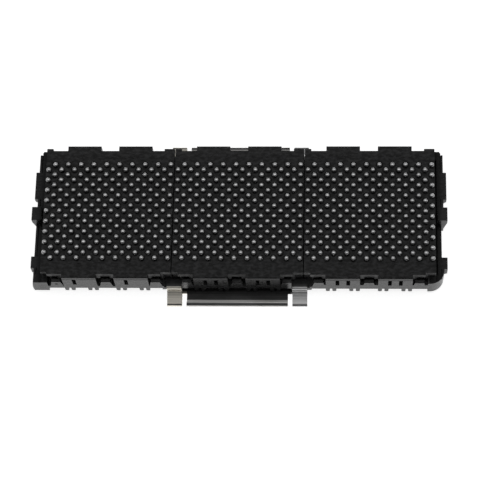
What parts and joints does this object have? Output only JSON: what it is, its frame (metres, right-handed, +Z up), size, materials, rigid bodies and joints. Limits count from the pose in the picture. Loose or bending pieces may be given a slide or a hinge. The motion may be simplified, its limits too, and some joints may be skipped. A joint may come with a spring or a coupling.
{
  "type": "board-to-board receptacle connector",
  "caption": "Long mezzanine board-to-board receptacle: slotted contact modules in a moulded frame, solder-ball grid on one face, and a sheet-metal pick-up cover clipped over the mating face.",
  "frame": {"origin": "centre of the bounding box at its lowest face, the underside of the pick-up cover that the connector lies on", "axes": "+X along the row of modules, towards the end with the rounded front corner; +Y from the front wall to the back wall; +Z up, from the mating face towards the solder balls"},
  "size_m": [0.056, 0.0234, 0.0061],
  "materials": {
    "frame_plastic": "moulded, fine matte grain",
    "plate_plastic": "moulded, fine matte grain with a soft sheen",
    "housing_plastic": "moulded, matte",
    "cover_steel": "bright rolled stainless strip",
    "contact_metal": "gold plated",
    "solder": "reflowed solder, satin"
  },
  "bodies": {
    "root": {"frame": "frame_plastic", "pickup_cover": "cover_steel", "left_ball_plate": "plate_plastic", "middle_ball_plate": "plate_plastic", "right_ball_plate": "plate_plastic", "left_contact_housing": "housing_plastic", "middle_contact_housing": "housing_plastic", "right_contact_housing": "housing_plastic", "left_signal_contacts": "contact_metal", "middle_signal_contacts": "contact_metal", "right_signal_contacts": "contact_metal", "left_ground_contacts": "contact_metal", "middle_ground_contacts": "contact_metal", "right_ground_contacts": "contact_metal", "left_signal_balls": "solder", "middle_signal_balls": "solder", "right_signal_balls": "solder", "left_ground_balls": "solder", "middle_ground_balls": "solder", "right_ground_balls": "solder"}
  },
  "joints": []
}
